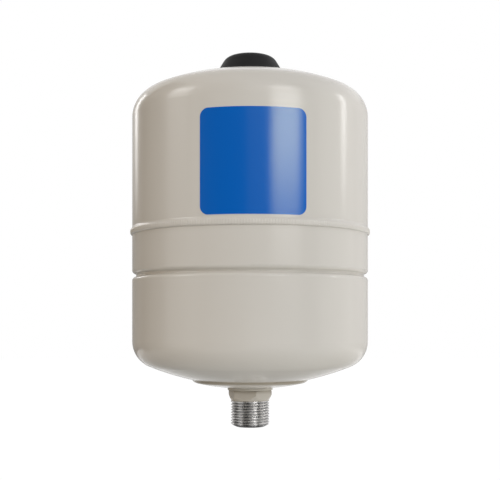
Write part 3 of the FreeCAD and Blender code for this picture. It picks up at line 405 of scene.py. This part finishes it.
# %% [markdown]
# ## The pipe thread
# A one-inch pipe thread has 11 turns to the inch. Its flanks stand at 55 degrees, and its crests
# and roots are rounded. A texture could fake it, but the outline of the thread shows at both
# sides, so it is real shape: the reach from the axis falls from crest to root and back once for
# each pitch of height, and the pattern climbs by one pitch for each turn. The end is chamfered so
# that a fitting starts easily, and the last groove runs out under the hexagon.

# %% Thread
THREAD_PITCH = 25.4 / 11
THREAD_RADIUS = 16.62
THREAD_DEPTH = 1.479
THREAD_END = 22.4
BORE_RADIUS = 10.5
CHAMFER_REACH = 12.42
CHAMFER_SLOPE = 4.2 / 2.2
RUN_OUT = 0.9
ROWS_PER_PITCH = 24
FIRST_CREST = 0.3
CREST_ROUNDING = 0.1373 * THREAD_PITCH
FLANK_ANGLE = math.radians(27.5)


def thread_form(turn):
    """How deep the groove is, 0 at a crest to 1 at a root, over one pitch."""
    from_crest = min(turn % 1, 1 - turn % 1) * THREAD_PITCH
    from_middle = THREAD_PITCH / 4 - abs(from_crest - THREAD_PITCH / 4)
    rounded = CREST_ROUNDING * math.cos(FLANK_ANGLE)
    if from_middle < rounded:
        depth = CREST_ROUNDING - math.sqrt(CREST_ROUNDING ** 2 - from_middle ** 2)
    else:
        depth = (CREST_ROUNDING * (1 - math.sin(FLANK_ANGLE))
                 + (from_middle - rounded) / math.tan(FLANK_ANGLE))
    return (depth if from_crest < THREAD_PITCH / 4 else THREAD_DEPTH - depth) / THREAD_DEPTH


def thread_outline(angle):
    rows = round(THREAD_END / THREAD_PITCH * ROWS_PER_PITCH)
    outer = []
    for row in range(rows + 1):
        level = THREAD_END * row / rows
        turn = level / THREAD_PITCH - angle / (2 * math.pi) + FIRST_CREST
        run_out = min(1.0, (THREAD_END - level) / RUN_OUT)
        reach = THREAD_RADIUS - THREAD_DEPTH * thread_form(turn) * run_out
        outer.append((min(reach, CHAMFER_REACH + level * CHAMFER_SLOPE), level))
    return [(BORE_RADIUS, THREAD_END), (BORE_RADIUS, 0.0)] + outer


thread = round_mesh("pipe_thread", thread_outline, steps=144)
dress(thread, stainless, "water_connector")

# %% [markdown]
# ## The hexagon and the collar
# The spanner hexagon is sprayed over together with the shell, so it is a piece of its own here,
# with the enamel. Seen from below, a hexagon's reach is the smallest of six flats, and the turned
# chamfers cut its corners in curves. Paint also fills every edge a little. A soft minimum does all
# of it: it adds up high powers of the limits, which rounds each edge where two limits meet. A
# narrow neck parts the hexagon from the collar under the head.
#
# The hexagon's top and the collar's radius follow the photo here and are a little off the CAD
# model, which has 32.3 and 19.1 mm. The coat is painted browner and darker than on the shells, as
# painted shade from the tank's belly above it, and a painted shadow darkens it further under the
# collar. That is fitted to the photo too.

# %% Hexagon
HEX_ACROSS_FLATS = 33.3
HEX_TOP = 31.2
HEX_TURN = 15.6
CONE_FOOT = 15.9
CONE_LEAN = math.tan(math.radians(32.8))
TOP_CHAMFER = 0.6
COLLAR_RADIUS = 19.4
COLLAR_FOOT = 31.5
SHELL_UNDERSIDE = 33.8
GROOVE_REACH = 15.8
HOLE_RADIUS = 16.0
FLANGE_RADIUS = 18.6
FLANGE_FOOT = 35.05
CONNECTOR_TOP = 35.95
SOCKET_RADIUS = 12.3
SOCKET_FOOT = 24.45
EDGE_POWER = 200
HEX_ROWS = 44
COLLAR_SHADE = (28.3, 31.3, 31.5, 31.9)


def soft_least(limits):
    return sum(limit ** -EDGE_POWER for limit in limits) ** (-1 / EDGE_POWER)


def hexagon_reach(angle, level):
    flats = []
    for flat in range(6):
        away = math.cos(angle - math.radians(HEX_TURN - 60 + 60 * flat))
        if away > 0.4:
            flats.append(HEX_ACROSS_FLATS / 2 / away)
    corner = HEX_ACROSS_FLATS / math.sqrt(3)
    lower_cone = CONE_FOOT + (level - THREAD_END) * CONE_LEAN
    upper_cone = corner - TOP_CHAMFER + (HEX_TOP - level)
    return soft_least(flats + [lower_cone, upper_cone])


def hexagon_outline(angle):
    levels = [THREAD_END + (HEX_TOP - THREAD_END) * row / HEX_ROWS
              for row in range(HEX_ROWS + 1)]
    side = [(hexagon_reach(angle, level), level) for level in levels]
    collar = [(GROOVE_REACH, HEX_TOP + 0.02), (GROOVE_REACH - 0.1, COLLAR_FOOT - 0.02),
              (COLLAR_RADIUS - 0.25, COLLAR_FOOT), (COLLAR_RADIUS, COLLAR_FOOT + 0.2),
              (COLLAR_RADIUS, SHELL_UNDERSIDE - 0.5), (COLLAR_RADIUS - 0.2, SHELL_UNDERSIDE - 0.2),
              (COLLAR_RADIUS - 0.9, SHELL_UNDERSIDE - 0.15), (COLLAR_RADIUS - 1.2, SHELL_UNDERSIDE)]
    inside = [(HOLE_RADIUS, SHELL_UNDERSIDE), (HOLE_RADIUS, FLANGE_FOOT),
              (FLANGE_RADIUS, FLANGE_FOOT), (FLANGE_RADIUS, CONNECTOR_TOP),
              (SOCKET_RADIUS, CONNECTOR_TOP), (SOCKET_RADIUS, SOCKET_FOOT),
              (BORE_RADIUS, SOCKET_FOOT), (BORE_RADIUS, THREAD_END)]
    return side + collar + inside


# Painted shade: a darker, browner copy of the enamel, with a painted shadow band under the collar.
shaded_hexagon_enamel = grained("shaded_hexagon_enamel", sizes=(420.0, 9.0), depth=0.00001, gloss=(0.16, 0.2),
                       tones=(colour(0.55, 0.515, 0.445), colour(0.555, 0.52, 0.45)),
                       Specular_IOR_Level=0.25)
tree = shaded_hexagon_enamel.node_tree
recolour(shaded_hexagon_enamel, band(tree, split(tree, object_place(tree))[2], COLLAR_SHADE),
         colour(0.38, 0.34, 0.27))
hexagon = round_mesh("hexagon", hexagon_outline, steps=360)
dress(hexagon, shaded_hexagon_enamel, "water_connector")

# %% [markdown]
# ## The weld round the middle
# The two halves are joined by a machine weld. Its bead has a smooth hollow flank above, a rounded
# crest and a sharp lower edge, and it froze in fine ripples about 2.2 mm apart, each a shallow
# crescent. The ripples are real shape too, because the bead stands out from the tank at both
# sides, and each ripple catches the light on its own.

# %% Weld
TANK_RADIUS = 101.0
SEAM_LEVEL = 166.6
WELD_TOP = 170.9
RIPPLE_SPACING = 2.2
RIPPLE_DEPTH = 0.20
RIPPLE_CURVE = 0.09
BEAD_HEIGHT = 1.65
STEPS_PER_RIPPLE = 8

ripple_count = round(2 * math.pi * TANK_RADIUS / RIPPLE_SPACING)
weld_flank = [(101.0, WELD_TOP), (101.08, 170.55), (101.22, 170.15), (101.43, 169.7),
              (101.7, 169.25), (102.0, 168.85), (102.28, 168.5), (102.48, 168.15),
              (102.6, 167.7), (102.66, 167.1), (102.67, 166.4), (102.63, 165.7),
              (102.53, 165.15), (102.38, 164.75), (102.2, 164.5), (101.8, 164.2),
              (101.1, 164.0)]
weld_root = [(100.6, SEAM_LEVEL - 0.02), (101.0, SEAM_LEVEL)]


def weld_outline(angle):
    outline = []
    for reach, level in weld_flank:
        lag = RIPPLE_CURVE * (level - SEAM_LEVEL) ** 2
        phase = angle * ripple_count + lag * 2 * math.pi / RIPPLE_SPACING
        proud = max(0.0, (reach - TANK_RADIUS) / BEAD_HEIGHT)
        outline.append((reach - RIPPLE_DEPTH * proud * (0.5 - 0.5 * math.cos(phase)), level))
    return outline + weld_root


weld = round_mesh("weld_bead", weld_outline, steps=ripple_count * STEPS_PER_RIPPLE)
dress(weld, enamel, "seam_weld")

# %% [markdown]
# ## The spring of the valve
# Pressing the valve's pin squeezes its spring. Here it is a coil of wire at rest, between the ends
# of its CAD node.

# %% Valve spring
SPRING_COIL_RADIUS = 1.12
SPRING_WIRE_RADIUS = 0.15
SPRING_PITCH = 1.15
STEPS_PER_COIL = 24
WIRE_SIDES = 8

spring_low, spring_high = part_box("core_spring")
spring_foot = spring_low.z / MM + SPRING_WIRE_RADIUS
spring_rise = spring_high.z / MM - SPRING_WIRE_RADIUS - spring_foot
spring_steps = round(spring_rise / SPRING_PITCH * STEPS_PER_COIL)
points, faces = [], []
for step in range(spring_steps + 1):
    climb = spring_rise * step / spring_steps
    turn = 2 * math.pi * climb / SPRING_PITCH
    for side in range(WIRE_SIDES):
        round_wire = 2 * math.pi * side / WIRE_SIDES
        reach = SPRING_COIL_RADIUS + SPRING_WIRE_RADIUS * math.cos(round_wire)
        points.append((reach * math.cos(turn) * MM, reach * math.sin(turn) * MM,
                       (spring_foot + climb + SPRING_WIRE_RADIUS * math.sin(round_wire)) * MM))
for step in range(spring_steps):
    for side in range(WIRE_SIDES):
        here, beyond = step * WIRE_SIDES + side, step * WIRE_SIDES + (side + 1) % WIRE_SIDES
        faces.append((here, here + WIRE_SIDES, beyond + WIRE_SIDES, beyond))
faces.append(tuple(range(WIRE_SIDES)))
faces.append(tuple(reversed(range(len(points) - WIRE_SIDES, len(points)))))
spring = new_piece("valve_spring", points, faces, smooth_to=60)
dress(spring, spring_steel, "core_spring")
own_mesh(spring)
print("spring", round(spring_rise, 2), "mm,", round(spring_rise / SPRING_PITCH, 1), "coils")

# %% [markdown]
# ## The label
# The label is a printed film with rounded corners. The film keeps its CAD shape and carries one
# plain blue ground, cut a hair inside the film so that its pale edge shows. Distances on the label
# are worked out in millimetres from Object coordinates: the angle round the tank times its radius
# gives the place across, and the height the place up. The sheen on the blue is a little golden in
# the photo and has fine upright streaks, so the reflections get a warm tint and the film a fine
# upright relief. The label of the photo is printed; this one is left bare on purpose.

# %% Label size
low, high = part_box("label")
LABEL_MIDDLE = (low.z + high.z) / 2 / MM
LABEL_HALF_HEIGHT = (high.z - low.z) / 2 / MM
LABEL_HALF_WIDTH = 42.1
LABEL_TURN = math.radians(1.5)
LABEL_CORNER = 7.0
LABEL_EDGE = 0.15
print("label half height", round(LABEL_HALF_HEIGHT, 2), "middle", round(LABEL_MIDDLE, 2))


# %% Label print
def label_places(tree):
    """Millimetres across and up from the label's middle."""
    parts = split(tree, object_place(tree))
    front = math_node(tree, "MULTIPLY", parts[1], -1.0)
    turn = math_node(tree, "SUBTRACT", math_node(tree, "ARCTAN2", parts[0], front), LABEL_TURN)
    across = math_node(tree, "MULTIPLY", turn, TANK_RADIUS)
    up = math_node(tree, "SUBTRACT", math_node(tree, "DIVIDE", parts[2], MM), LABEL_MIDDLE)
    return across, up


def rounded_area(tree, across, up, half_width, half_height, corner):
    """How far a place is outside a rounded rectangle, in millimetres, negative inside."""
    sides = []
    for place, half in ((across, half_width), (up, half_height)):
        over = math_node(tree, "SUBTRACT", math_node(tree, "ABSOLUTE", place), half - corner)
        sides.append(math_node(tree, "MAXIMUM", over, 0.0))
    squares = [math_node(tree, "MULTIPLY", side, side) for side in sides]
    away = math_node(tree, "SQRT", math_node(tree, "ADD", *squares))
    return math_node(tree, "SUBTRACT", away, corner)


def inside(tree, distance, edge=0.1):
    """1 inside an area and 0 outside, with a soft edge."""
    return ramp(tree, distance, edge, -edge)


label_film, label_shader = new_material("label_film", Specular_IOR_Level=0.5,
                                        Specular_Tint=colour(1.0, 0.97, 0.42))
tree = label_film.node_tree
across, up = label_places(tree)
ground = inside(tree, rounded_area(tree, across, up, LABEL_HALF_WIDTH - LABEL_EDGE,
                                   LABEL_HALF_HEIGHT - LABEL_EDGE, LABEL_CORNER - LABEL_EDGE))
blue = add_node(tree, "ShaderNodeMix", {"Factor": ground, "A": colour(0.78, 0.78, 0.76),
                                        "B": colour(0.0002, 0.112, 0.475)}, data_type="RGBA")
tree.links.new(blue.outputs["Result"], label_shader.inputs["Base Color"])
film_grain = add_node(tree, "ShaderNodeGroup", node_tree=GRAIN)
film_grain.inputs[0].default_value = 160.0
film_grain.inputs[1].default_value = 30.0
drawn = add_node(tree, "ShaderNodeVectorMath", {0: object_place(tree), 1: (1.0, 1.0, 0.03)},
                 operation="MULTIPLY")
streaks = add_node(tree, "ShaderNodeTexNoise", {"Vector": drawn.outputs[0], "Scale": 900.0,
                                                "Detail": 2.0})
streak_bump = add_node(tree, "ShaderNodeBump", {"Height": streaks.outputs["Fac"],
                                                "Distance": 0.00001})
film_bump = add_node(tree, "ShaderNodeBump", {"Height": film_grain.outputs["Height"],
                                              "Distance": 0.00002,
                                              "Normal": streak_bump.outputs["Normal"]})
tree.links.new(film_bump.outputs["Normal"], label_shader.inputs["Normal"])
film_gloss = ramp(tree, film_grain.outputs["Patches"], 0.0, 1.0, 0.14, 0.18)
tree.links.new(film_gloss, label_shader.inputs["Roughness"])
nodes["label"].material_slots[0].material = label_film
print("label film", 2 * LABEL_HALF_WIDTH, "mm wide, edge", LABEL_EDGE, "mm")

# %% [markdown]
# ## Soft light from three sides
# The wall of the tank shows how a picture is lit. Its tone changes only from left to right, from a
# warm shade on the left to a clear light on the right. Three large soft lights do the same: a dim,
# low one at the left, a broad, high one in front and a bright one behind the right shoulder. The
# front light stands high so that the tank's belly shades the connector. A fourth fills the back.
# They are soft patches of one procedural sky: the light that comes from a direction falls
# off with a power of the cosine of its angle from the middle of a patch. The camera, the
# reflections and anything seen through glass get plain white instead, which is the paper behind
# the tank.

# %% Sky
# Each patch: azimuth from the camera's side towards +X, rise above the horizon, colour
SKY_PATCHES = (
    (-70, 3, (2.28, 1.86, 1.42)),
    (12, 42, (3.00, 3.04, 3.20)),
    (135, 15, (4.60, 4.45, 4.70)),
    (-165, 25, (2.2, 2.1, 2.0)),
)
PATCH_POWER = 8


def seen_directly(tree):
    """1 for rays from the camera, from reflections and through glass."""
    rays = add_node(tree, "ShaderNodeLightPath").outputs
    seen = math_node(tree, "MAXIMUM", rays["Is Camera Ray"], rays["Is Glossy Ray"])
    return math_node(tree, "MAXIMUM", seen, rays["Is Transmission Ray"])


world = bpy.data.worlds.new("studio")
bpy.context.scene.world = world
world.use_nodes = True
tree = world.node_tree
tree.nodes.clear()
where = add_node(tree, "ShaderNodeTexCoord").outputs["Generated"]
tone = None
for azimuth, rise, light in SKY_PATCHES:
    turn, up = math.radians(azimuth), math.radians(rise)
    middle = (math.sin(turn) * math.cos(up), -math.cos(turn) * math.cos(up), math.sin(up))
    near = add_node(tree, "ShaderNodeVectorMath", {0: where, 1: middle},
                    operation="DOT_PRODUCT").outputs["Value"]
    soft = math_node(tree, "POWER", math_node(tree, "MAXIMUM", near, 0.0), PATCH_POWER)
    patch = add_node(tree, "ShaderNodeVectorMath", {0: light, "Scale": soft},
                     operation="SCALE").outputs[0]
    tone = patch if tone is None else add_node(tree, "ShaderNodeVectorMath",
                                               {0: tone, 1: patch}).outputs[0]
sky = add_node(tree, "ShaderNodeBackground", {"Color": tone})
paper = add_node(tree, "ShaderNodeBackground", {"Color": colour(1, 1, 1)})
chosen = add_node(tree, "ShaderNodeMixShader", {0: seen_directly(tree), 1: sky.outputs[0],
                                                2: paper.outputs[0]})
output = add_node(tree, "ShaderNodeOutputWorld")
tree.links.new(chosen.outputs[0], output.inputs["Surface"])
print("sky of", len(SKY_PATCHES), "soft patches")

# %% [markdown]
# ## The floor
# The tank hangs by its thread, so nothing stands under it. A pale floor lies well below, white
# like the paper. It sends light up to the tank's underside, more on the right than on the left and
# a little less straight below, where the tank shades it.

# %% Floor
FLOOR_LEVEL = -0.45
FLOOR_HALF = 12.0
PAPER_GLOW = 0.88

floor = new_piece("floor", [(x * FLOOR_HALF, y * FLOOR_HALF, FLOOR_LEVEL)
                            for x, y in ((-1, -1), (1, -1), (1, 1), (-1, 1))], [(0, 1, 2, 3)])
floor_paint, floor_shader = new_material("floor_paint", Roughness=1.0, Specular_IOR_Level=0.0,
                                         Base_Color=colour(0.15, 0.15, 0.15),
                                         Emission_Color=colour(1, 1, 1))
tree = floor_paint.node_tree
slope = ramp(tree, split(tree, object_place(tree))[0], -0.8, 0.9, 0.05, 1.45)
under = ramp(tree, from_axis(tree), 0.1, 0.65, 0.75, 0.9, interpolation_type="SMOOTHSTEP")
bounce = math_node(tree, "MULTIPLY", slope, under)
lift = add_node(tree, "ShaderNodeMix", {0: seen_directly(tree), 2: bounce, 3: PAPER_GLOW},
                data_type="FLOAT")
tree.links.new(lift.outputs[0], floor_shader.inputs["Emission Strength"])
floor.data.materials.append(floor_paint)
print("floor at", FLOOR_LEVEL, "m")

# %% [markdown]
# ## Soft boxes and flags
# Gloss needs something to reflect. A photographer stands tall soft boxes round the object and dark
# flags between them. On a round tank each box draws an upright streak, and its place across the
# streak says where the box stands: straight ahead for the middle of the tank, and far behind it
# for a streak close to the edge. Each one here is a curved card on a ring about the tank. It is
# seen by reflections alone, so it draws its streak and leaves the even light as it is. Its
# brightness changes with its height, which lets the streaks fade towards the weld and swell on the
# shoulder, and soft sides keep them from looking cut out. Places and strengths were fitted to the
# photo from the front, so the tank looks best from there.

# %% Card helpers
CARD_DISTANCE = 1.5
FLAG_DISTANCE = 1.7
CARD_STEPS = 12


def reflections_only(piece):
    """Hide a piece from everything but reflections."""
    for kind in ("camera", "diffuse", "transmission", "shadow"):
        setattr(piece, "visible_" + kind, False)


def fill_curve(curve, low, high, peak, stops):
    """Put a card's stops, as heights and strengths, on a Float Curve between 0 and 1."""
    line = curve.mapping.curves[0]
    for at, (height, strength) in enumerate(stops):
        spot = ((height - low) / (high - low), strength / peak)
        if at in (0, len(stops) - 1):
            line.points[0 if at == 0 else len(line.points) - 1].location = spot
        else:
            line.points.new(*spot)
    for point in line.points:
        point.handle_type = "VECTOR"
    curve.mapping.update()


def soft_sides(tree, place, middle, width, soft):
    """1 on a card and 0 beyond its sides, by the angle from its middle in degrees."""
    turned = split(tree, add_node(tree, "ShaderNodeVectorRotate", {
        "Vector": place, "Angle": math.radians(-middle)}, rotation_type="Z_AXIS").outputs[0])
    front = math_node(tree, "MULTIPLY", turned[1], -1.0)
    aside = math_node(tree, "ABSOLUTE", math_node(tree, "ARCTAN2", turned[0], front))
    return ramp(tree, aside, math.radians(width / 2 + soft), math.radians(width / 2 - soft),
                interpolation_type="SMOOTHSTEP")


def card(name, middle, width, low, high, stops, distance=CARD_DISTANCE, soft=0.0):
    """A curved card: angles in degrees, heights in metres, stops from its foot, soft sides."""
    points = []
    for step in range(CARD_STEPS + 1):
        turn = math.radians(middle + (width + 2 * soft) * (step / CARD_STEPS - 0.5))
        reach = (math.sin(turn) * distance, -math.cos(turn) * distance)
        points += [(*reach, low), (*reach, high)]
    piece = new_piece(name, points, [(here, here + 2, here + 3, here + 1)
                                     for here in range(0, 2 * CARD_STEPS, 2)])
    light = bpy.data.materials.new(name)
    light.use_nodes = True
    tree = light.node_tree
    tree.nodes.clear()
    place = object_place(tree)
    curve = add_node(tree, "ShaderNodeFloatCurve", {
        "Value": ramp(tree, split(tree, place)[2], low, high)})
    peak = max(strength for _, strength in stops)
    fill_curve(curve, low, high, peak, stops)
    strength = math_node(tree, "MULTIPLY", curve.outputs[0], peak)
    if soft:
        strength = math_node(tree, "MULTIPLY", strength,
                             soft_sides(tree, place, middle, width, soft))
    glow = add_node(tree, "ShaderNodeEmission", {"Strength": strength})
    output = add_node(tree, "ShaderNodeOutputMaterial")
    tree.links.new(glow.outputs[0], output.inputs["Surface"])
    piece.data.materials.append(light)
    reflections_only(piece)


def flag(name, first, last, low, high, stops):
    """A dark card from one azimuth to another, behind the soft boxes."""
    card(name, (first + last) / 2, last - first, low, high, stops, distance=FLAG_DISTANCE)


# %% [markdown]
# ## Where the cards stand
# The dark flags come first and the lights after them. Azimuths run from the camera's side towards
# +X. Each stop is a height in metres and the brightness there.

# %% Cards
flag("front_flag", -48, -3, -0.45, 2.4, ((-0.45, 0.01), (2.4, 0.01)))
flag("front_gap_flag", -3, 22, 0.12, 1.1, ((0.12, 0.2), (0.6, 0.25), (1.1, 1.0)))
flag("front_right_flag", 47, 66, -0.45, 2.4, ((-0.45, 0.02), (2.4, 0.02)))
flag("left_flag", -126, -84, -0.45, 2.4, ((-0.45, 0.02), (2.4, 0.02)))
flag("left_back_flag", -180, -146, -0.25, 0.95,
     ((-0.25, 0.15), (0.0, 0.35), (0.28, 0.38), (0.52, 0.65), (0.95, 0.8)))
flag("left_side_flag", -146, -126, -0.25, 0.95,
     ((-0.25, 0.15), (0.0, 0.3), (0.28, 0.3), (0.42, 0.5), (0.95, 0.8)))
flag("right_back_flag", 112, 180, -0.25, 0.95,
     ((-0.25, 0.3), (0.0, 0.45), (0.28, 0.45), (0.95, 0.65)))
card("soft_box", middle=32.8, width=26.5, low=0.10, high=1.75, soft=6,
     stops=((0.10, 0.0), (0.30, 2.4), (0.342, 3.3), (0.385, 5.2), (0.475, 8.6), (0.56, 10.5),
            (0.62, 5.6), (0.85, 6.0), (1.10, 8.5), (1.35, 5.5), (1.75, 1.0)))
card("right_strip", middle=97, width=6, low=0.30, high=1.05, soft=1,
     stops=((0.30, 0.0), (0.60, 11.0), (1.05, 11.0)))
card("left_strip", middle=-139, width=9, low=0.30, high=1.05, soft=1,
     stops=((0.30, 0.0), (0.60, 4.2), (1.05, 4.2)))
card("side_box", middle=-71, width=24, low=0.30, high=1.75, soft=4,
     stops=((0.30, 0.9), (0.60, 1.9), (1.05, 7.0), (1.30, 7.5), (1.75, 0.5)))
print("cards at", CARD_DISTANCE, "m, flags at", FLAG_DISTANCE, "m")

# %% [markdown]
# ## A dark table for the reflections
# The underside would mirror the white floor. A dark round table below, seen by reflections alone
# and brighter towards its rim, keeps the lower corner of the tank in its own colour.

# %% Table flag
TABLE_RADIUS = 1.65
TABLE_LEVEL = -0.44
TABLE_SIDES = 36

table = new_piece("table_flag", [
    (TABLE_RADIUS * math.cos(2 * math.pi * side / TABLE_SIDES),
     TABLE_RADIUS * math.sin(2 * math.pi * side / TABLE_SIDES), TABLE_LEVEL)
    for side in range(TABLE_SIDES)], [tuple(range(TABLE_SIDES))])
table_paint, table_shader = new_material("table_flag", Base_Color=colour(0, 0, 0), Roughness=1.0,
                                         Specular_IOR_Level=0.0,
                                         Emission_Color=colour(1, 1, 1))
tree = table_paint.node_tree
tree.links.new(ramp(tree, from_axis(tree), 0.65, 1.2, 0.08, 0.62),
               table_shader.inputs["Emission Strength"])
table.data.materials.append(table_paint)
reflections_only(table)
print("table flag", TABLE_RADIUS, "m in radius")
